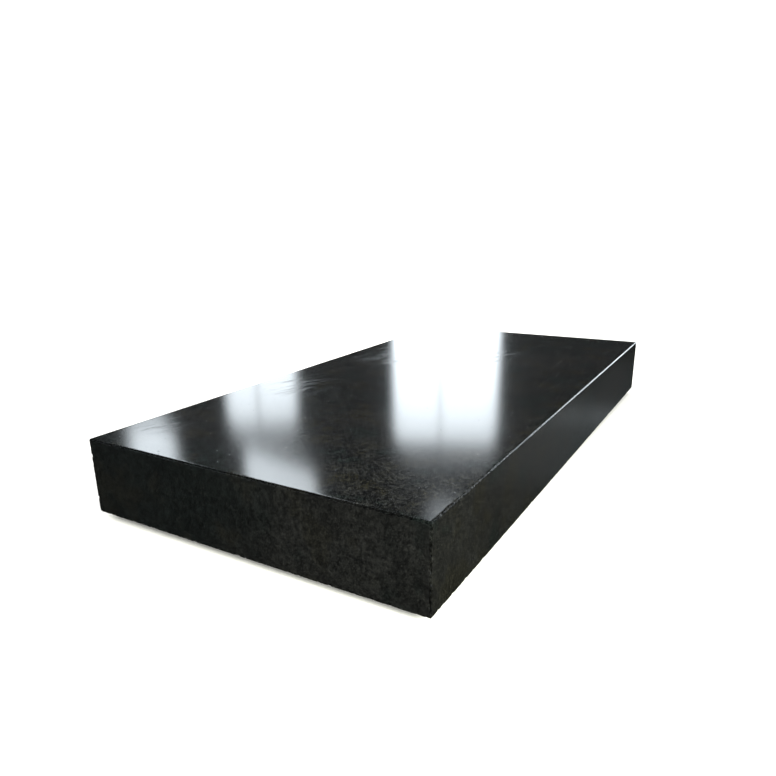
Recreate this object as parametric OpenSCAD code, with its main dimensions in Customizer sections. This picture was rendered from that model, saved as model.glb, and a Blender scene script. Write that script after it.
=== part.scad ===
// Free-standing granite slab for tooling, stamping and punching leather.
// One sawn and polished stone block stands on four rubber feet, each held by its own
// disc of adhesive foam. The origin is on the bench, under the middle of the slab:
// +X runs along the slab, +Y across it, and +Z points up to the polished face.

/* [Slab] */
// Length of the stone
slab_length = 610; // [350:5:1200]
// Width of the stone
slab_width = 305; // [250:5:600]
// Thickness of the stone
slab_thickness = 63.5; // [25:0.5:150]
// Width of the easing cut along every arris
arris = 1; // [0.5:0.1:6]

/* [Feet] */
// Diameter of a foot at its bonded top
foot_top_d = 38; // [26:1:60]
// Diameter of a foot's tread on the bench
foot_tread_d = 34; // [26:1:60]
// Height of a foot
foot_height = 5; // [3:0.5:20]
// Radius of the rounding around the tread
tread_round = 1; // [0.5:0.1:2]
// Diameter of the shallow dish in the tread
dish_d = 20; // [8:1:20]
// Depth of the dish
dish_depth = 0.8; // [0.2:0.1:2]
// Distance from the slab's ends to the feet's centres
foot_inset_x = 60; // [40:1:90]
// Distance from the slab's long sides to the feet's centres
foot_inset_y = 60; // [40:1:90]

/* [Adhesive] */
// Diameter of an adhesive foam disc
disc_d = 35; // [20:1:38]
// Thickness of an adhesive foam disc
disc_thickness = 1; // [0.5:0.1:2]

/* [Hidden] */
$fn = 96;
underside_z = foot_height + disc_thickness;
foot_x = slab_length / 2 - foot_inset_x;
foot_y = slab_width / 2 - foot_inset_y;
// Each corner's name, and the signs of its x and y
CORNERS = [
    ["front_left", -1, -1],
    ["front_right", 1, -1],
    ["back_left", -1, 1],
    ["back_right", 1, 1]
];

// A rectangle about the origin with its four corners cut off at 45 degrees
module eased_rectangle(across, along, ease) {
    x = across / 2;
    y = along / 2;
    polygon([
        [x - ease, -y], [x, -y + ease], [x, y - ease], [x - ease, y],
        [-x + ease, y], [-x, y - ease], [-x, -y + ease], [-x + ease, -y]
    ]);
}

// A block about the origin with all twelve edges eased: the space shared by three
// prisms, one along each axis
module eased_block(size, ease) {
    intersection() {
        linear_extrude(size.z, center = true)
            eased_rectangle(size.x, size.y, ease);
        rotate([90, 0, 0])
            linear_extrude(size.y, center = true)
                eased_rectangle(size.x, size.z, ease);
        rotate([90, 0, 90])
            linear_extrude(size.x, center = true)
                eased_rectangle(size.y, size.z, ease);
    }
}

module at_corner(corner) {
    translate([corner[1] * foot_x, corner[2] * foot_y, 0])
        children();
}

// The stone: one solid block, with no hole, insert or joint in it
module slab() {
    color("#17191a")
        translate([0, 0, underside_z + slab_thickness / 2])
            eased_block([slab_length, slab_width, slab_thickness], arris);
}

// A moulded rubber foot: flat bonded top, tapered side, rounded tread with a dish in it
module foot(corner) {
    round_steps = 4;
    tread_r = foot_tread_d / 2;
    round_centre = [tread_r - tread_round, tread_round];
    color("#26272a")
        at_corner(corner)
            rotate_extrude()
                polygon(concat(
                    [
                        [0, dish_depth],
                        [dish_d / 2 - dish_depth, dish_depth],
                        [dish_d / 2, 0]
                    ],
                    [for (i = [0 : round_steps])
                        round_centre + tread_round
                            * [sin(90 * i / round_steps), -cos(90 * i / round_steps)]],
                    [
                        [foot_top_d / 2, foot_height],
                        [0, foot_height]
                    ]
                ));
}

// The double-sided foam disc between a foot and the stone
module adhesive(corner) {
    color("#8d9091")
        at_corner(corner)
            translate([0, 0, foot_height])
                cylinder(h = disc_thickness, d = disc_d);
}

slab();
for (c = CORNERS) {
    foot(c);
    adhesive(c);
}
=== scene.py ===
"""A free-standing granite slab for tooling leather: one stone block with a mirror-polished top,
honed sides and a sawn underside, on four stick-on rubber feet.

It is laid out as an add-on and run as a script. Lengths are in metres, in the frame of the CAD
model: +X runs along the slab, +Y across it and +Z up, with the bench at z = 0."""

import math
from collections import namedtuple

import bmesh
import bpy
from bpy.props import FloatProperty, FloatVectorProperty, IntProperty, PointerProperty
from mathutils import Matrix, Vector


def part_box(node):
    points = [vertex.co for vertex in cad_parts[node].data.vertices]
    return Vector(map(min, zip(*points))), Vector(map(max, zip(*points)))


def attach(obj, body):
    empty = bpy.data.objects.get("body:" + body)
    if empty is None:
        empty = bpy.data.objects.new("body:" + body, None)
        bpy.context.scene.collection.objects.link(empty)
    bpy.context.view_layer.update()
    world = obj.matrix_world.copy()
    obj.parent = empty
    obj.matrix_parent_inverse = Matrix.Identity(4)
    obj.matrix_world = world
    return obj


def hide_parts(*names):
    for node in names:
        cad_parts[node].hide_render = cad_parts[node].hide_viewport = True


bl_info = {
    "name": "Granite tooling slab",
    "version": (1, 0, 0),
    "blender": (4, 5, 0),
    "location": "3D View > Sidebar > Granite Slab",
    "description": "Builds a polished granite slab on rubber feet, and a plain studio round it",
    "category": "Object",
}

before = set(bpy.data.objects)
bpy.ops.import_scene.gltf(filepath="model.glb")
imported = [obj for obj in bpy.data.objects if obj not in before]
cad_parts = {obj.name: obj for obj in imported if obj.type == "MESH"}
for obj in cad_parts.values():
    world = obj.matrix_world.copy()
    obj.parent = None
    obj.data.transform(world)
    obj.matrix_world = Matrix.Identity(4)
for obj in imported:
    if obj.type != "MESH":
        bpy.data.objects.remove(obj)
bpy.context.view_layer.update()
BODY = "root"
MM = 0.001
# Slack for comparing places
HAIR = 0.01 * MM
CORNERS = ("front_left", "front_right", "back_left", "back_right")
STONE_LOW, STONE_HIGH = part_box("slab")
STONE_SIZE = STONE_HIGH - STONE_LOW
STONE_CENTRE = (STONE_HIGH + STONE_LOW) / 2
FOOT_LOW, FOOT_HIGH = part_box("foot_front_left")
DISC_LOW, DISC_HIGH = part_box("adhesive_front_left")


# ---------------------------------------------------------------- settings


class BlockSettings(bpy.types.PropertyGroup):
    """Sizes and finish of the stone."""

    arris: FloatProperty(
        name="Arris", description="Width of the easing on every edge", default=1.0 * MM, unit="LENGTH"
    )
    arris_round: FloatProperty(
        name="Arris round", description="Rounding where the easing meets a face",
        default=0.3 * MM, unit="LENGTH",
    )
    nick_depth: FloatProperty(
        name="Nick depth", description="Deepest nick in an arris", default=1.6 * MM, unit="LENGTH"
    )
    nick_size: FloatProperty(
        name="Nick size", description="Usual width of a nick", default=3.2 * MM, unit="LENGTH"
    )
    crystal: FloatProperty(
        name="Crystal", description="Length of the largest feldspar laths", default=3.4 * MM,
        unit="LENGTH",
    )
    ground: FloatVectorProperty(
        name="Ground", description="Dark minerals between the laths", subtype="COLOR",
        default=(0.0034, 0.0036, 0.0034),
    )
    lath: FloatVectorProperty(
        name="Lath", description="Pale feldspar laths", subtype="COLOR",
        default=(0.0155, 0.016, 0.015),
    )
    polish: FloatProperty(
        name="Polish", description="Roughness of the mirror polish", default=0.105, min=0.0,
        max=1.0,
    )
    haze: FloatProperty(
        name="Haze", description="Roughness of the faint haze over the polish", default=0.34,
        min=0.0, max=1.0,
    )


class FootSettings(bpy.types.PropertyGroup):
    """Sizes of the feet and of the adhesive over them."""

    tread: FloatProperty(
        name="Tread", description="Diameter of the tread", default=34 * MM, unit="LENGTH"
    )
    tread_round: FloatProperty(
        name="Tread round", description="Rounding around the tread", default=1 * MM, unit="LENGTH"
    )
    dish: FloatProperty(
        name="Dish", description="Diameter of the dish in the tread", default=20 * MM, unit="LENGTH"
    )
    dish_depth: FloatProperty(
        name="Dish depth", description="Depth of the dish", default=0.8 * MM, unit="LENGTH"
    )
    groove: FloatProperty(
        name="Groove", description="Depth of the grip groove", default=0.4 * MM, unit="LENGTH"
    )
    bulge: FloatProperty(
        name="Bulge", description="How far the foam swells at its rim", default=0.35 * MM,
        unit="LENGTH",
    )
    sides: IntProperty(name="Sides", description="Flats around a foot", default=96, min=24)


class StageSettings(bpy.types.PropertyGroup):
    """Camera, studio, soft lamps and the mirrored room."""

    lens: FloatProperty(name="Lens", description="Focal length in millimetres", default=29.63)
    shift: FloatVectorProperty(
        name="Shift", description="Lens shift across and up, in picture widths", size=2,
        default=(0.0098, 0.0446),
    )
    heading: FloatProperty(
        name="Heading", description="Direction of view, turned from +X towards +Y",
        default=math.radians(31.30), subtype="ANGLE",
    )
    tilt: FloatProperty(
        name="Tilt", description="Angle of view below level", default=math.radians(17.70),
        subtype="ANGLE",
    )
    roll: FloatProperty(
        name="Roll", description="Turn about the line of view", default=math.radians(-1.05),
        subtype="ANGLE",
    )
    stand_off: FloatVectorProperty(
        name="Stand-off", description="Camera's place from the near top corner, in slab lengths",
        default=(-0.4766, -0.2366, 0.2669),
    )
    surround: FloatProperty(
        name="Surround", description="Brightness of the white studio", default=1.25
    )
    reflected: FloatProperty(
        name="Reflected", description="Brightness of the dark room in polished stone", default=0.03
    )
    key: FloatProperty(
        name="Key lamp", description="Power of the soft lamp at the near corner", default=16.0,
        unit="POWER",
    )
    fill: FloatProperty(
        name="Fill lamp", description="Power of the soft lamp at the far corner", default=8.0,
        unit="POWER",
    )
    dome_radius: FloatProperty(
        name="Dome radius", description="Distance of the mirrored room", default=20.0,
        unit="LENGTH",
    )


# ---------------------------------------------------------------- shader maths


class Value:
    """An output socket. Arithmetic on it adds Math nodes to its shader."""

    def __init__(self, shader, socket):
        self.shader = shader
        self.socket = socket

    def out(self, name):
        return Value(self.shader, self.socket.node.outputs[name])

    def maths(self, operation, *others):
        values = dict(enumerate((self, *others)))
        return self.shader.add("ShaderNodeMath", {"operation": operation}, values)

    def __add__(self, other):
        return self.maths("ADD", other)

    def __radd__(self, other):
        return self.maths("ADD", other)

    def __sub__(self, other):
        return self.maths("SUBTRACT", other)

    def __rsub__(self, other):
        return self.shader.add("ShaderNodeMath", {"operation": "SUBTRACT"}, {0: other, 1: self})

    def __mul__(self, other):
        return self.maths("MULTIPLY", other)

    def __rmul__(self, other):
        return self.maths("MULTIPLY", other)

    def __truediv__(self, other):
        return self.maths("DIVIDE", other)

    def between(self, low, high):
        """0 at low and 1 at high, with a smooth step from one to the other."""
        settings = {"interpolation_type": "SMOOTHSTEP"}
        return self.shader.add(
            "ShaderNodeMapRange", settings, {"Value": self, "From Min": low, "From Max": high}
        )

    def vector(self, operation, *others, output="Vector"):
        values = dict(enumerate((self, *others)))
        return self.shader.add("ShaderNodeVectorMath", {"operation": operation}, values, output)

    def scaled(self, factor):
        values = {0: self, "Scale": factor}
        return self.shader.add("ShaderNodeVectorMath", {"operation": "SCALE"}, values)


class Shader:
    """A material and the nodes in it."""

    def __init__(self, name):
        self.material = bpy.data.materials.new(name)
        self.material.use_nodes = True
        self.tree = self.material.node_tree
        self.tree.nodes.clear()

    def add(self, kind, settings=None, values=None, output=0):
        """Adds a node: its settings first, then the values or links of its sockets."""
        node = self.tree.nodes.new(kind)
        for name, setting in (settings or {}).items():
            setattr(node, name, setting)
        for name, value in (values or {}).items():
            socket = node.inputs[name]
            if isinstance(value, Value):
                self.tree.links.new(value.socket, socket)
            elif socket.type == "RGBA":
                socket.default_value = (*value, 1.0)
            else:
                socket.default_value = value
        return Value(self, node.outputs[output])

    def place(self):
        return self.add("ShaderNodeTexCoord", output="Object")

    def mapped(self, place, turn=(0, 0, 0), stretch=(1, 1, 1), shift=(0, 0, 0)):
        """The place in a pattern that is shifted, turned and stretched along its own axes."""
        return self.add(
            "ShaderNodeMapping", {"vector_type": "TEXTURE"},
            {"Vector": place, "Rotation": turn, "Scale": stretch, "Location": shift},
        )

    def noise(self, place, size, detail=2.0, rough=0.5, distort=0.0):
        return self.add(
            "ShaderNodeTexNoise", {"noise_dimensions": "3D"},
            {"Vector": place, "Scale": 1 / size, "Detail": detail, "Roughness": rough,
             "Distortion": distort},
        )

    def cells(self, place, size):
        """How far the place is from the middle of the nearest cell."""
        return self.add(
            "ShaderNodeTexVoronoi", {"voronoi_dimensions": "3D", "feature": "F1"},
            {"Vector": place, "Scale": 1 / size}, "Distance",
        )

    def mix(self, share, first, second, blend="MIX"):
        """Blends a share of the second colour into the first: they are sockets 6 and 7 of the node."""
        settings = {"data_type": "RGBA", "blend_type": blend}
        return self.add("ShaderNodeMix", settings, {0: share, 6: first, 7: second}, 2)

    def bump(self, height, distance, strength):
        values = {"Height": height, "Distance": distance, "Strength": strength}
        return self.add("ShaderNodeBump", None, values)

    def finish(self, **values):
        """Ends the shader in a Principled surface: underscores in the names stand for spaces."""
        named = {name.replace("_", " "): value for name, value in values.items()}
        return self.end(self.add("ShaderNodeBsdfPrincipled", None, named))

    def end(self, surface):
        node = self.tree.nodes.new("ShaderNodeOutputMaterial")
        self.tree.links.new(surface.socket, node.inputs["Surface"])
        return self.material


# ---------------------------------------------------------------- stone


STONE_IOR = 1.56
# Half a full-grown lath's length, in its cell's size, and where its soft edge begins and ends
LATH_REACH = 0.66
LATH_CORE = 0.35
LATH_RIM = 1.1
# Casts of the dark ground, as factors on its colour
TEAL = (0.5, 0.74, 0.74)
PALE = (1.08, 1.06, 1.04)
OLIVE = (1.16, 1.04, 0.68)
GREEN = (0.72, 1.0, 0.95)
DARK_MINERAL = (0.001, 0.0011, 0.0012)
# Painted shade in the pits of the polish
PIT_SHADE = (0.0008, 0.0008, 0.0009)
SAWN_GREY = (0.075, 0.076, 0.074)


def laths(shader, place, length, slimness, seed, share):
    """Needle crystals in a share of the cells, each lying its own way: 1 on one, 0 off it."""
    moved = shader.mapped(place, shift=(seed, seed * 1.7, seed * 0.6))
    cell = shader.cells(moved, length)
    chance = shader.add("ShaderNodeSeparateColor", None, {"Color": cell.out("Color")})
    offset = moved.vector("SUBTRACT", cell.out("Position"))
    heading = cell.out("Color").vector("SUBTRACT", (0.5, 0.5, 0.5)).vector("NORMALIZE")
    along = offset.vector("DOT_PRODUCT", heading, output="Value")
    across = offset.vector("CROSS_PRODUCT", heading).vector("LENGTH", output="Value")
    grown = chance * 0.5 + 0.5
    reach = along / (LATH_REACH * length) / grown
    spread = across / (LATH_REACH * length / slimness)
    inside = reach * reach + spread * spread
    chosen = chance.out("Green").between(1 - share, 1.06 - share)
    return (1 - inside.between(LATH_CORE, LATH_RIM)) * chosen


def stone_pattern(shader, look):
    """The stone's minerals, which run on through every face: colour, laths and grain."""
    place = shader.place()
    bent = shader.noise(place, 5 * MM, 2.0).out("Color").vector("SUBTRACT", (0.5, 0.5, 0.5))
    grained = place.vector("ADD", bent.scaled(1.6 * MM))
    return {
        "place": place,
        "large": laths(shader, grained, look.crystal, slimness=4.2, seed=0.31, share=0.5),
        "small": laths(shader, grained, look.crystal * 0.55, slimness=3.2, seed=1.27, share=0.6),
        "dark": laths(shader, grained, look.crystal * 0.7, slimness=1.6, seed=2.45, share=0.35),
        "drift": shader.noise(shader.mapped(place, shift=(3.6, 0.6, 3.4)), 200 * MM, 1.5),
        "clouds": shader.noise(place, 60 * MM, 3.0, 0.6),
        "patches": shader.noise(shader.mapped(place, shift=(3.1, 0.4, 1.9)), 30 * MM, 3.0, 0.55),
        "grain": shader.noise(place, 3.0 * MM, 3.0, 0.65),
        "mottle": shader.noise(place, 9 * MM, 3.0, 0.6),
        "fine": shader.noise(place, 1.1 * MM, 2.0, 0.6),
    }


def stone_colour(shader, look, stone, tone, contrast):
    """Near-black ground with grey laths, drifting between teal, green and olive casts."""
    def tinted(cast):
        return tuple(tone * c * factor for c, factor in zip(look.ground, cast))

    patches = stone["patches"]
    ground = shader.mix(stone["drift"].between(0.3, 0.52), tinted(TEAL), tinted(PALE))
    shade = stone["clouds"].between(0.38, 0.62) * 0.3 + 0.85
    shade = shade * (stone["mottle"].between(0.36, 0.64) * 0.5 * contrast + (1 - 0.25 * contrast))
    shade = shade * (patches.between(0.36, 0.64) * 0.3 * contrast + (1 - 0.15 * contrast))
    ground = ground.scaled(shade)
    strength = 0.35 + 0.4 * contrast
    ground = shader.mix(patches.between(0.52, 0.66) * strength, ground, tinted(OLIVE))
    ground = shader.mix((1 - patches).between(0.53, 0.66) * strength, ground, tinted(GREEN))
    dim = (1 - 0.45 * contrast,) * 3
    bright = (1 + 0.8 * contrast,) * 3
    grains = shader.mix(stone["grain"].between(0.35, 0.66), dim, bright)
    ground = shader.mix(1.0, ground, grains, "MULTIPLY")
    specks = shader.mix(stone["fine"].between(0.3, 0.72), dim, bright)
    ground = shader.mix(1.0, ground, specks, "MULTIPLY")
    ground = shader.mix(stone["dark"] * 0.5 * contrast, ground, DARK_MINERAL)
    crystals = (stone["large"] * 0.8).maths("MAXIMUM", stone["small"] * 0.55) * contrast
    crystals = crystals * stone["fine"].between(0.25, 0.6)
    return shader.mix(crystals, ground, tuple(tone * c for c in look.lath))


WIPE_TURN = math.radians(-17)
WIPE_STRETCH = 6
# Where a cloth has left its marks: how far along and across from the middle of the top each
# patch is, and its radius, in slab lengths
WIPED_SPOTS = (
    (0.125, 0.18, 0.12),
    (-0.15, 0.175, 0.09),
    (-0.41, 0.21, 0.05),
    (0.22, -0.06, 0.09),
)
# How far in from the arris the polish falls off
ROLL_OFF = 1.5 * MM
LEAST_ROUGH = 0.05


def edge_distance(shader, place):
    """How far a point of the top is from the nearest side of the block."""
    parts = shader.add("ShaderNodeSeparateXYZ", None, {"Vector": place})
    along = STONE_SIZE.x / 2 - (parts.out("X") - STONE_CENTRE.x).maths("ABSOLUTE")
    across = STONE_SIZE.y / 2 - (parts.out("Y") - STONE_CENTRE.y).maths("ABSOLUTE")
    return along.maths("MINIMUM", across)


def wiped_spots(place):
    """1 in the patches that a cloth has marked, fading to 0 round them."""
    def spot(along, across, radius):
        centre = (along * STONE_SIZE.x, across * STONE_SIZE.x, STONE_HIGH.z)
        away = place.vector("DISTANCE", centre, output="Value")
        return 1 - away.between(0.3 * radius * STONE_SIZE.x, radius * STONE_SIZE.x)

    return sum(spot(*each) for each in WIPED_SPOTS)


def polished_stone(look):
    """The working face: black and mirror-like, with faint laths, pits and wipe marks."""
    shader = Shader("polished granite")
    stone = stone_pattern(shader, look)
    place = stone["place"]
    colour = stone_colour(shader, look, stone, tone=1.15, contrast=2.1)
    wiped = shader.mapped(place, turn=(0, 0, WIPE_TURN), stretch=(WIPE_STRETCH, 1, 1))
    wisps = shader.noise(wiped, 6 * MM, 3.0, 0.55, 0.3).between(0.47, 0.68)
    wisps = wisps * wiped_spots(place)
    drift = shader.noise(place, 90 * MM, 2.0)
    # Pits: dents in the polish, their colour painted darker as painted shade in the hollows
    pits = 1 - shader.cells(place, 6.5 * MM).between(0.05, 0.12)
    pits = pits * shader.noise(place, 18 * MM, 1.0).between(0.45, 0.55)
    worn = 1 - edge_distance(shader, place).between(look.arris, look.arris + ROLL_OFF)
    grainy = stone["grain"].between(0.4, 0.6) * 0.05 + stone["fine"].between(0.4, 0.6) * 0.025
    rough = wisps * 0.11 + (drift - 0.5) * 0.04 + pits * 0.2 + stone["large"] * 0.02
    rough = rough + (stone["grain"] - 0.5) * 0.03 + worn * 0.12 + look.polish
    height = (1 - pits) + stone["small"] * 0.1 + stone["fine"] * 0.1 + stone["grain"] * 0.4
    return shader.finish(
        Base_Color=shader.mix(pits, colour, PIT_SHADE),
        Roughness=rough.maths("MAXIMUM", LEAST_ROUGH), IOR=STONE_IOR,
        Coat_Weight=wisps * 0.3 + grainy, Coat_Roughness=look.haze,
        Normal=shader.bump(height, distance=0.05 * MM, strength=0.35),
    )


def dull_stone(look, name, rough, tone, contrast, relief, lift=0.0, scored=0.0):
    """A face below mirror polish. Lift greys it with saw marks, and scored cuts them in."""
    shader = Shader(name)
    stone = stone_pattern(shader, look)
    colour = stone_colour(shader, look, stone, tone, contrast)
    blade = shader.mapped(stone["place"], stretch=(1, 14, 1))
    marks = shader.noise(blade, 3.2 * MM, 3.0, 0.7)
    if lift:
        colour = shader.mix(marks.between(0.3, 0.8) * 0.3 + lift, colour, SAWN_GREY)
    dullness = (stone["clouds"] - 0.5) * 0.14 + (stone["fine"] - 0.5) * 0.1 + rough
    dullness = dullness - stone["large"] * 0.05
    height = stone["fine"] * 0.5 + stone["grain"] * 0.6 + marks * scored
    return shader.finish(
        Base_Color=colour, Roughness=dullness, IOR=STONE_IOR,
        Normal=shader.bump(height, distance=0.14 * MM, strength=relief),
    )


def rubber():
    """Moulded black rubber, dusty in places."""
    shader = Shader("foot rubber")
    place = shader.place()
    skin = shader.noise(place, 0.5 * MM, 3.0, 0.6)
    dust = shader.noise(place, 7 * MM, 4.0, 0.65)
    colour = shader.mix(dust.between(0.45, 0.8) * 0.6, (0.017, 0.0175, 0.019), (0.06, 0.058, 0.054))
    colour = shader.mix(skin.between(0.6, 0.8) * 0.3, colour, (0.05, 0.05, 0.05))
    return shader.finish(
        Base_Color=colour, Roughness=dust * 0.2 + skin * 0.12 + 0.55,
        Normal=shader.bump(skin, distance=0.06 * MM, strength=0.5),
    )


def foam():
    """Grey closed-cell foam with the pinholes of cut cells."""
    shader = Shader("adhesive foam")
    place = shader.place()
    cells = shader.cells(place, 0.45 * MM)
    cloud = shader.noise(place, 3 * MM, 2.0)
    # Darker at the middle of each cell: painted shade in the pinholes
    colour = shader.mix(cells.between(0.1, 0.5), (0.12, 0.12, 0.125), (0.36, 0.365, 0.37))
    colour = shader.mix(cloud.between(0.4, 0.7) * 0.35, colour, (0.22, 0.21, 0.19))
    return shader.finish(
        Base_Color=colour, Roughness=cloud * 0.15 + 0.7,
        Normal=shader.bump(cells, distance=0.12 * MM, strength=0.6),
    )


# ---------------------------------------------------------------- modelling helpers


def alone(piece=None):
    """Leaves edit mode and selects only this piece, or nothing."""
    if bpy.context.mode != "OBJECT":
        bpy.ops.object.mode_set(mode="OBJECT")
    bpy.ops.object.select_all(action="DESELECT")
    if piece is not None:
        piece.select_set(True)
        bpy.context.view_layer.objects.active = piece


def pick(piece, kind, test):
    """In edit mode, selects just the faces, edges or verts that the test accepts."""
    bpy.ops.mesh.select_all(action="DESELECT")
    modes = {"verts": "VERT", "edges": "EDGE", "faces": "FACE"}
    bpy.ops.mesh.select_mode(type=modes[kind])
    shape = bmesh.from_edit_mesh(piece.data)
    chosen = [element for element in getattr(shape, kind) if test(element)]
    if not chosen:
        raise RuntimeError(f"nothing to pick among the {kind} of {piece.name}")
    for element in chosen:
        element.select_set(True)
    if kind == "verts":
        shape.select_flush(True)
    bmesh.update_edit_mesh(piece.data)


def apply_place(piece):
    """Puts the piece's place, turn and scale into its mesh."""
    alone(piece)
    bpy.ops.object.transform_apply(location=True, rotation=True, scale=True)


def apply_modifier(piece, kind, **settings):
    """Adds a modifier of this kind and works it into the mesh."""
    alone(piece)
    modifier = piece.modifiers.new(kind.title(), kind)
    for name, value in settings.items():
        setattr(modifier, name, value)
    bpy.ops.object.modifier_apply(modifier=modifier.name)


def give(piece, *materials):
    """Gives the piece these materials in their order, and every face the first."""
    piece.data.materials.clear()
    for material in materials:
        piece.data.materials.append(material)


def keep(piece, node):
    """Puts the finished piece in place of its CAD node."""
    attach(piece, BODY)
    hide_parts(node)


# ---------------------------------------------------------------- the stone block

# Order of the block's finishes
TOP, LONG_SIDE, END, UNDER, EDGE = range(5)
# Cosine of the angle within which a face or an edge is square to an axis
SQUARE_ON = 0.999
# Two narrow bands of faces inside each arris, which keep the nicks off the flat faces
EDGE_BAND = 0.7 * MM
FACE_BAND = 1.5 * MM
# The strip along each edge that is cut finely, for the nicks
RIM = 4 * MM
COARSE_STEP = 6 * MM
MOST_CUTS = 100
FINE_CUTS = 4
SHORTEST_CUT = 2.2 * MM
# How readily each kind of arris nicks
UPRIGHT_NICKS = 1.0
LOWER_NICKS = 0.5
UPPER_NICKS = 0.08
# The share of a nick's depth that reaches the band beside the arris
NICK_SPREAD = 0.5
# Height of the cloud at which a nick begins, and at which it is deepest
NICK_START = 0.52
NICK_FULL = 0.68


def insets(co):
    """How far in a point is from the nearer side, along each axis."""
    return [min(co[i] - STONE_LOW[i], STONE_HIGH[i] - co[i]) for i in range(3)]


def arris_distance(co):
    """How far a point of the block's surface is from the nearest of its twelve edges."""
    return sorted(insets(co))[1]


def subdivide_along(piece, axis):
    """Cuts the edges that run along one axis: all coarsely, and those in the rims finely too."""
    def runs_along(edge):
        span = edge.verts[1].co - edge.verts[0].co
        return abs(span[axis]) > SQUARE_ON * span.length and span.length > SHORTEST_CUT

    def in_rim(edge):
        return runs_along(edge) and all(arris_distance(vert.co) < RIM for vert in edge.verts)

    pick(piece, "edges", runs_along)
    coarse_cuts = round(STONE_SIZE[axis] / COARSE_STEP) - 1
    bpy.ops.mesh.subdivide(number_cuts=min(MOST_CUTS, coarse_cuts))
    pick(piece, "edges", in_rim)
    bpy.ops.mesh.subdivide(number_cuts=FINE_CUTS)


def stone_side(face):
    """Which finish a face of the block has."""
    facing = face.normal
    if facing.z > SQUARE_ON:
        return TOP
    if facing.z < -SQUARE_ON:
        return UNDER
    if abs(facing.y) > SQUARE_ON:
        return LONG_SIDE
    if abs(facing.x) > SQUARE_ON:
        return END
    return EDGE


def edge_weight(co, arris):
    """How deep a nick may go at a point: most on the upright arrises, least round the top."""
    off_edge = arris_distance(co)
    if off_edge > arris + EDGE_BAND + HAIR:
        return 0.0
    share = NICK_SPREAD if off_edge > arris + HAIR else 1.0
    along, across, _ = insets(co)
    if along < RIM and across < RIM and co.z < STONE_HIGH.z - RIM:
        return UPRIGHT_NICKS * share
    if co.z < STONE_CENTRE.z:
        return LOWER_NICKS * share
    return UPPER_NICKS * share


def build_block(look):
    """The stone: a block with eased, banded and nicked edges, and a finish on each kind of face."""
    alone()
    bpy.ops.mesh.primitive_cube_add(size=1, location=STONE_CENTRE, scale=STONE_SIZE)
    block = bpy.context.object
    block.name = "granite_block"
    apply_place(block)
    give(
        block,
        polished_stone(look),
        # The long sides: a rubbed finish, with a tone set lighter than the ends' as painted light on
        # them
        dull_stone(look, "rubbed granite", rough=0.21, tone=1.3, contrast=0.6, relief=0.25),
        dull_stone(look, "honed granite", rough=0.46, tone=1.12, contrast=0.8, relief=0.5),
        dull_stone(
            look, "sawn granite", rough=0.62, tone=1.2, contrast=0.8, relief=0.5, lift=0.3,
            scored=1.5,
        ),
        # The arrises and their nicks: a tone well under the faces' and a strong contrast, which is
        # painted shade along the edges
        dull_stone(look, "eased granite", rough=0.26, tone=0.6, contrast=1.6, relief=0.4),
    )

    bpy.ops.object.mode_set(mode="EDIT")
    bpy.ops.mesh.select_all(action="SELECT")
    bpy.ops.mesh.bevel(offset=look.arris, offset_type="OFFSET", segments=1, affect="EDGES")
    bpy.ops.mesh.select_all(action="SELECT")
    bpy.ops.mesh.bevel(
        offset=look.arris_round, offset_type="OFFSET", segments=2, profile=0.5, affect="EDGES"
    )
    # The six flat faces
    pick(block, "faces", lambda face: face.calc_area() > 0.5 * STONE_SIZE.y * STONE_SIZE.z)
    bpy.ops.mesh.inset(thickness=EDGE_BAND, use_individual=True)
    bpy.ops.mesh.inset(thickness=FACE_BAND, use_individual=True)
    for axis in range(3):
        subdivide_along(block, axis)
    shape = bmesh.from_edit_mesh(block.data)
    for face in shape.faces:
        face.material_index = stone_side(face)
    bmesh.update_edit_mesh(block.data)
    alone(block)

    nick_edges(block, look)
    bpy.ops.object.shade_smooth_by_angle(angle=math.radians(35))
    apply_modifier(block, "WEIGHTED_NORMAL", mode="FACE_AREA", weight=80, keep_sharp=True)
    keep(block, "slab")


def nick_edges(block, look):
    """Small nicks along the arrises: the peaks of a cloud pattern push their vertices in."""
    group = block.vertex_groups.new(name="arris")
    for vertex in block.data.vertices:
        weight = edge_weight(vertex.co, look.arris)
        if weight > 0:
            group.add([vertex.index], weight, "REPLACE")
    nicks = bpy.data.textures.new("nicks", "CLOUDS")
    nicks.noise_scale = look.nick_size
    nicks.noise_depth = 2
    nicks.use_color_ramp = True
    start, full = nicks.color_ramp.elements
    start.position = NICK_START
    start.color = (0, 0, 0, 1)
    full.position = NICK_FULL
    full.color = (1, 1, 1, 1)
    apply_modifier(
        block, "DISPLACE", texture=nicks, texture_coords="LOCAL", direction="NORMAL",
        mid_level=0.0, strength=-look.nick_depth, vertex_group="arris",
    )


# ---------------------------------------------------------------- feet and adhesive


# The grip groove: how far in across the tread it lies, its sloping walls and its floor
GROOVE_PLACE = 0.35
GROOVE_WALL = 0.3 * MM
GROOVE_FLOOR = 0.6 * MM
# The pip that the mould leaves in the middle of the dish
PIP_RADIUS = 2.2 * MM
PIP_WALL = 0.3 * MM
PIP_HEIGHT = 0.25 * MM
PIP_RIM = 1.1 * MM
# Rounding round the top of a foot
TOP_ROUND = 0.3 * MM


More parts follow.
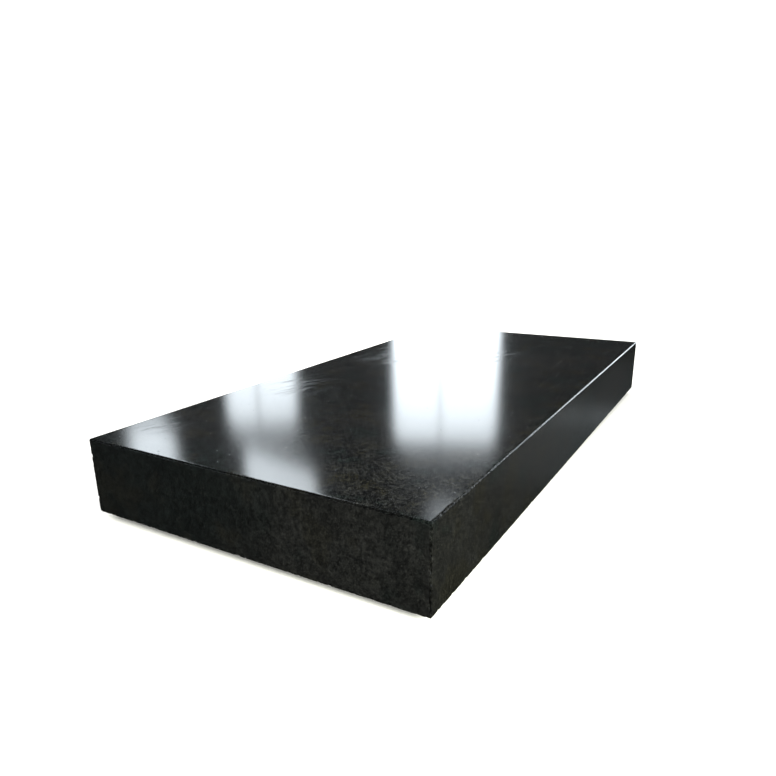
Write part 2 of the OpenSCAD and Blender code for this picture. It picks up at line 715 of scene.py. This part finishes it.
def build_foot(look):
    """One foot at the front left: tapered side, and a rounded tread with a groove and a dish."""
    radius = (FOOT_HIGH.x - FOOT_LOW.x) / 2
    height = FOOT_HIGH.z - FOOT_LOW.z
    centre = (FOOT_HIGH + FOOT_LOW) / 2
    tread = look.tread / 2
    alone()
    bpy.ops.mesh.primitive_cylinder_add(
        vertices=look.sides, radius=radius, depth=height, location=centre
    )
    foot = bpy.context.object
    apply_place(foot)

    bpy.ops.object.mode_set(mode="EDIT")
    pick(foot, "faces", lambda face: face.normal.z < -0.9)
    bpy.ops.transform.resize(
        value=(tread / radius, tread / radius, 1), center_override=(centre.x, centre.y, FOOT_LOW.z)
    )
    bpy.ops.mesh.bevel(offset=look.tread_round, segments=4, affect="EDGES")
    pick(foot, "faces", lambda face: face.normal.z < -SQUARE_ON)
    ring = tread - look.tread_round - look.dish / 2
    groove_width = 2 * GROOVE_WALL + GROOVE_FLOOR
    steps = (
        (GROOVE_PLACE * ring, 0),
        (GROOVE_WALL, -look.groove),
        (GROOVE_FLOOR, 0),
        (GROOVE_WALL, look.groove),
        ((1 - GROOVE_PLACE) * ring - groove_width, 0),
        (look.dish_depth, -look.dish_depth),
        (look.dish / 2 - look.dish_depth - PIP_RADIUS, 0),
        (PIP_WALL, PIP_HEIGHT),
        (PIP_RIM, 0),
    )
    for thickness, depth in steps:
        bpy.ops.mesh.inset(thickness=thickness, depth=depth)
    pick(foot, "edges", lambda edge: all(v.co.z > FOOT_HIGH.z - HAIR for v in edge.verts))
    bpy.ops.mesh.bevel(offset=TOP_ROUND, segments=2, affect="EDGES")
    alone(foot)
    bpy.ops.object.shade_smooth_by_angle(angle=math.radians(40))
    give(foot, rubber())
    return foot


# The rim of a disc and the middle of its rim, as shares of its thickness from half way up
RIM_SHARE = 0.45
MIDDLE_SHARE = 0.2
RIM_CUTS = 5
RAGGED_SIZE = 2.5 * MM
RAGGED_DEPTH = 0.3 * MM


def build_disc(look):
    """One adhesive disc at the front left: foam that swells and is a little ragged at its rim."""
    radius = (DISC_HIGH.x - DISC_LOW.x) / 2
    height = DISC_HIGH.z - DISC_LOW.z
    centre = (DISC_HIGH + DISC_LOW) / 2

    def on_rim(vertex, share=RIM_SHARE):
        return abs(vertex.co.z - centre.z) < share * height

    def swell(by):
        factor = 1 + by / radius
        bpy.ops.transform.resize(value=(factor, factor, 1), center_override=centre)

    alone()
    bpy.ops.mesh.primitive_cylinder_add(
        vertices=look.sides, radius=radius, depth=height, location=centre
    )
    disc = bpy.context.object
    apply_place(disc)

    bpy.ops.object.mode_set(mode="EDIT")
    pick(disc, "edges", lambda edge: abs(edge.verts[0].co.z - edge.verts[1].co.z) > height / 2)
    bpy.ops.mesh.subdivide(number_cuts=RIM_CUTS)
    pick(disc, "verts", on_rim)
    swell(look.bulge)
    pick(disc, "verts", lambda vertex: on_rim(vertex, MIDDLE_SHARE))
    swell(0.3 * look.bulge)
    alone(disc)
    ragged = bpy.data.textures.new("foam edge", "CLOUDS")
    ragged.noise_scale = RAGGED_SIZE
    group = disc.vertex_groups.new(name="rim")
    group.add([vertex.index for vertex in disc.data.vertices if on_rim(vertex)], 1.0, "REPLACE")
    apply_modifier(
        disc, "DISPLACE", texture=ragged, texture_coords="LOCAL", direction="NORMAL",
        mid_level=0.5, strength=RAGGED_DEPTH, vertex_group="rim",
    )
    bpy.ops.object.shade_smooth_by_angle(angle=math.radians(50))
    give(disc, foam())
    return disc


def spread_to_corners(first, stem):
    """Copies the front left piece to the other corners, each copy with its own mesh."""
    home = sum(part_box(f"{stem}_front_left"), Vector()) / 2
    for corner in CORNERS:
        node = f"{stem}_{corner}"
        piece = first
        if corner != "front_left":
            piece = first.copy()
            piece.data = first.data.copy()
            bpy.context.collection.objects.link(piece)
            piece.location = sum(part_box(node), Vector()) / 2 - home
            apply_place(piece)
        piece.name = f"{corner}_{stem}"
        keep(piece, node)


# ---------------------------------------------------------------- stage


# What polished stone mirrors: windows, each a soft-edged upright pane. Its middle, half its size
# and its softness are in degrees, as seen from the camera's place mirrored in the top. A bar is
# the heading of a dark bar down it, and slant is how many degrees the pane climbs for each
# degree of heading.
Pane = namedtuple(
    "Pane", "heading rise half_wide half_high soft radiance bar slant", defaults=(None, 0.0)
)
WINDOWS = (
    # The first window, with a paler strip over it
    Pane(25.25, 12.3, 4.75, 7.1, 0.5, 4.9, bar=25.7),
    Pane(24.8, 20.4, 4.0, 1.2, 1.2, 0.55),
    # The second, with a fainter and taller pane over it
    Pane(42.15, 10.5, 3.15, 6.8, 0.5, 3.0, bar=42.5),
    Pane(42.0, 11.5, 3.0, 7.3, 0.8, 0.9, bar=42.5),
    # The third, in two panes
    Pane(52.4, 14.2, 1.5, 3.6, 0.7, 1.65),
    Pane(52.0, 20.6, 1.9, 3.6, 0.7, 4.2),
    # A sloping pane high over the second, and a small one with a glow round it over the first
    Pane(40.85, 24.7, 3.25, 4.0, 0.45, 4.6, slant=-0.43),
    Pane(25.2, 26.4, 1.5, 1.5, 1.2, 2.3),
    Pane(23.6, 24.4, 2.2, 2.6, 2.0, 0.03),
    # A bright window for the front arris, and a dimmer one beside it
    Pane(-12.8, 10.5, 4.9, 6.3, 0.6, 10.0),
    Pane(-20.5, 17.5, 4.0, 3.5, 1.0, 0.8),
    # Low bands of light for the long side
    Pane(-15.0, -15.7, 10.0, 0.7, 0.4, 0.25),
    Pane(-17.0, -18.6, 12.0, 3.2, 1.8, 0.11),
    Pane(-14.0, -12.6, 9.0, 1.8, 1.2, 0.05),
    # The other sides of the room
    Pane(92.0, 14.0, 6.0, 7.0, 0.8, 3.0, bar=92.0),
    Pane(135.0, 13.0, 5.0, 7.0, 0.8, 2.4, bar=135.0),
    Pane(178.0, 13.0, 6.0, 7.0, 0.8, 3.0, bar=178.0),
    Pane(215.0, 14.0, 7.0, 7.0, 0.8, 3.5, bar=215.0),
    Pane(252.0, 13.0, 6.0, 7.0, 0.8, 3.5, bar=252.0),
    Pane(288.0, 14.0, 5.0, 7.0, 0.8, 3.0, bar=288.0),
    Pane(320.0, 13.0, 5.0, 6.5, 0.8, 2.4, bar=320.0),
)
PANE_BLUE = (0.86, 0.94, 1.0)
# A bar's half width where it is darkest and where it has faded out, and the share it takes
BAR_CORE = 0.088
BAR_EDGE = 0.396
BAR_DARK = 0.32
CORNER_RADIUS = 1.0
# The dark room between the windows: its tint low down and high up, and the rise of each
LOW_TINT = (0.8, 0.85, 0.8)
HIGH_TINT = (1.5, 1.6, 1.7)
LOW_RISE = -25
HIGH_RISE = 35

# The soft lamps, and how far each stands off its corner
LAMP_SIZE = 0.35
LAMP_COLOUR = (0.99, 1.0, 0.85)
KEY_OFF = (-0.25, -0.55, 0.33)
FILL_OFF = (0.35, 0.5, 0.33)

FLOOR_SIZE = 30
FLOOR_DROP = 0.1 * MM
FLOOR_WHITE = (0.95, 0.95, 0.95)


def pane(heading, rise, window):
    """One window's light: a rounded rectangle that fades out over its softness."""
    turned = (heading - window.heading + 540).maths("FLOORED_MODULO", 360) - 180
    if window.slant:
        rise = rise - turned * window.slant
    raised = rise - window.rise
    aside = turned.maths("ABSOLUTE") - (window.half_wide - CORNER_RADIUS)
    aside = aside.maths("MAXIMUM", 0)
    above = raised.maths("ABSOLUTE") - (window.half_high - CORNER_RADIUS)
    above = above.maths("MAXIMUM", 0)
    beyond = (aside * aside + above * above).maths("SQRT") - CORNER_RADIUS
    light = (1 - beyond.between(-window.soft, window.soft)) * window.radiance
    if window.bar is None:
        return light
    off_bar = (turned - (window.bar - window.heading)).maths("ABSOLUTE")
    return light * (off_bar.between(BAR_CORE, BAR_EDGE) * BAR_DARK + (1 - BAR_DARK))


def mirrored_room(look, eye):
    """A dome that only polished stone sees: a dark room with tall windows round it."""
    alone()
    bpy.ops.mesh.primitive_ico_sphere_add(subdivisions=5, radius=look.dome_radius)
    dome = bpy.context.object
    dome.name = "mirrored_room"
    shader = Shader("mirrored room")
    towards = shader.place().vector("SUBTRACT", tuple(eye)).vector("NORMALIZE")
    parts = shader.add("ShaderNodeSeparateXYZ", None, {"Vector": towards})
    heading = parts.out("Y").maths("ARCTAN2", parts.out("X")) * math.degrees(1)
    rise = parts.out("Z").maths("ARCSINE") * math.degrees(1)
    light = sum(pane(heading, rise, window) for window in WINDOWS)
    low = tuple(look.reflected * c for c in LOW_TINT)
    high = tuple(look.reflected * c for c in HIGH_TINT)
    room = shader.mix(rise.between(LOW_RISE, HIGH_RISE), low, high)
    panes = shader.add("ShaderNodeVectorMath", {"operation": "SCALE"}, {0: PANE_BLUE, "Scale": light})
    glow = {"Color": panes.vector("ADD", room), "Strength": 1.0}
    give(dome, shader.end(shader.add("ShaderNodeEmission", None, glow)))
    shader.material.cycles.emission_sampling = "NONE"
    dome.visible_camera = False
    dome.visible_diffuse = False
    dome.visible_shadow = False
    dome.visible_transmission = False
    dome.visible_volume_scatter = False


def corner_lamp(name, corner, off, power):
    """A soft lamp off one corner, near enough for its light to fade along the stone."""
    place = Vector(corner) + Vector(off)
    alone()
    bpy.ops.object.light_add(type="AREA", location=place)
    lamp = bpy.context.object
    lamp.name = name
    lamp.rotation_euler = (-Vector(off)).to_track_quat("-Z", "Y").to_euler()
    lamp.data.shape = "SQUARE"
    lamp.data.size = LAMP_SIZE
    lamp.data.energy = power
    lamp.data.color = LAMP_COLOUR
    lamp.visible_camera = False
    lamp.visible_glossy = False


def white_studio(look):
    """An even white surround, which shows in no polished surface."""
    world = bpy.data.worlds.new("studio")
    bpy.context.scene.world = world
    world.use_nodes = True
    background = world.node_tree.nodes["Background"]
    background.inputs["Color"].default_value = (look.surround, look.surround, look.surround, 1)
    world.cycles_visibility.glossy = False


def floor():
    """A white floor just below the treads, and clear from underneath."""
    alone()
    bpy.ops.mesh.primitive_plane_add(size=FLOOR_SIZE, location=(0, 0, -FLOOR_DROP))
    ground = bpy.context.object
    ground.name = "floor"
    apply_place(ground)
    shader = Shader("floor")
    white = shader.add("ShaderNodeBsdfDiffuse", None, {"Color": FLOOR_WHITE})
    clear = shader.add("ShaderNodeBsdfTransparent")
    behind = shader.add("ShaderNodeNewGeometry", output="Backfacing")
    shown = shader.add("ShaderNodeMixShader", None, {0: behind, 1: white, 2: clear})
    give(ground, shader.end(shown))
    ground.visible_glossy = False


def camera(look):
    """The view past the near left corner of the stone."""
    near = Vector((STONE_LOW.x, STONE_LOW.y, STONE_HIGH.z))
    place = near + Vector(look.stand_off) * STONE_SIZE.x
    turn = (
        Matrix.Rotation(look.heading - math.pi / 2, 4, "Z")
        @ Matrix.Rotation(math.pi / 2 - look.tilt, 4, "X")
        @ Matrix.Rotation(look.roll, 4, "Z")
    )
    alone()
    bpy.ops.object.camera_add(location=place, rotation=turn.to_euler())
    view = bpy.context.object
    view.name = "camera"
    view.data.lens = look.lens
    view.data.sensor_width = 36
    view.data.shift_x, view.data.shift_y = look.shift
    view.data.clip_start = 0.01
    view.data.clip_end = 100
    bpy.context.scene.camera = view
    return view


# ---------------------------------------------------------------- operators


class GRANITE_OT_block(bpy.types.Operator):
    """Build the stone block: eased and nicked edges, polished top, honed sides"""

    bl_idname = "granite.block"
    bl_label = "Stone block"

    def execute(self, context):
        build_block(context.scene.granite_block)
        return {"FINISHED"}


class GRANITE_OT_feet(bpy.types.Operator):
    """Build the four moulded rubber feet"""

    bl_idname = "granite.feet"
    bl_label = "Rubber feet"

    def execute(self, context):
        spread_to_corners(build_foot(context.scene.granite_feet), "foot")
        return {"FINISHED"}


class GRANITE_OT_adhesive(bpy.types.Operator):
    """Build the four discs of adhesive foam between the feet and the stone"""

    bl_idname = "granite.adhesive"
    bl_label = "Adhesive discs"

    def execute(self, context):
        spread_to_corners(build_disc(context.scene.granite_feet), "adhesive")
        return {"FINISHED"}


class GRANITE_OT_stage(bpy.types.Operator):
    """Set up the camera, floor and white studio, the windows that the stone mirrors and the lamps"""

    bl_idname = "granite.stage"
    bl_label = "Stage"

    def execute(self, context):
        look = context.scene.granite_stage
        mirrored_eye = camera(look).location.copy()
        mirrored_eye.z = 2 * STONE_HIGH.z - mirrored_eye.z
        floor()
        white_studio(look)
        mirrored_room(look, mirrored_eye)
        corner_lamp("key_lamp", (STONE_LOW.x, STONE_LOW.y, 0), KEY_OFF, look.key)
        corner_lamp("fill_lamp", (STONE_HIGH.x, STONE_HIGH.y, 0), FILL_OFF, look.fill)
        bpy.context.scene.view_settings.view_transform = "Standard"
        return {"FINISHED"}


class GRANITE_PT_panel(bpy.types.Panel):
    """Everything that this script builds"""

    bl_label = "Granite Slab"
    bl_idname = "GRANITE_PT_panel"
    bl_space_type = "VIEW_3D"
    bl_region_type = "UI"
    bl_category = "Granite Slab"

    def draw(self, context):
        groups = (
            (context.scene.granite_block, ("granite.block",)),
            (context.scene.granite_feet, ("granite.feet", "granite.adhesive")),
            (context.scene.granite_stage, ("granite.stage",)),
        )
        for settings, operators in groups:
            box = self.layout.box()
            for name in settings.bl_rna.properties.keys():
                if name not in ("rna_type", "name"):
                    box.prop(settings, name)
            for operator in operators:
                box.operator(operator)


CLASSES = (
    BlockSettings,
    FootSettings,
    StageSettings,
    GRANITE_OT_block,
    GRANITE_OT_feet,
    GRANITE_OT_adhesive,
    GRANITE_OT_stage,
    GRANITE_PT_panel,
)


def register():
    for each in CLASSES:
        bpy.utils.register_class(each)
    bpy.types.Scene.granite_block = PointerProperty(type=BlockSettings)
    bpy.types.Scene.granite_feet = PointerProperty(type=FootSettings)
    bpy.types.Scene.granite_stage = PointerProperty(type=StageSettings)


def unregister():
    del bpy.types.Scene.granite_stage
    del bpy.types.Scene.granite_feet
    del bpy.types.Scene.granite_block
    for each in reversed(CLASSES):
        bpy.utils.unregister_class(each)


def main():
    register()
    bpy.ops.granite.stage()
    bpy.ops.granite.block()
    bpy.ops.granite.feet()
    bpy.ops.granite.adhesive()
    alone()


if __name__ == "__main__":
    main()
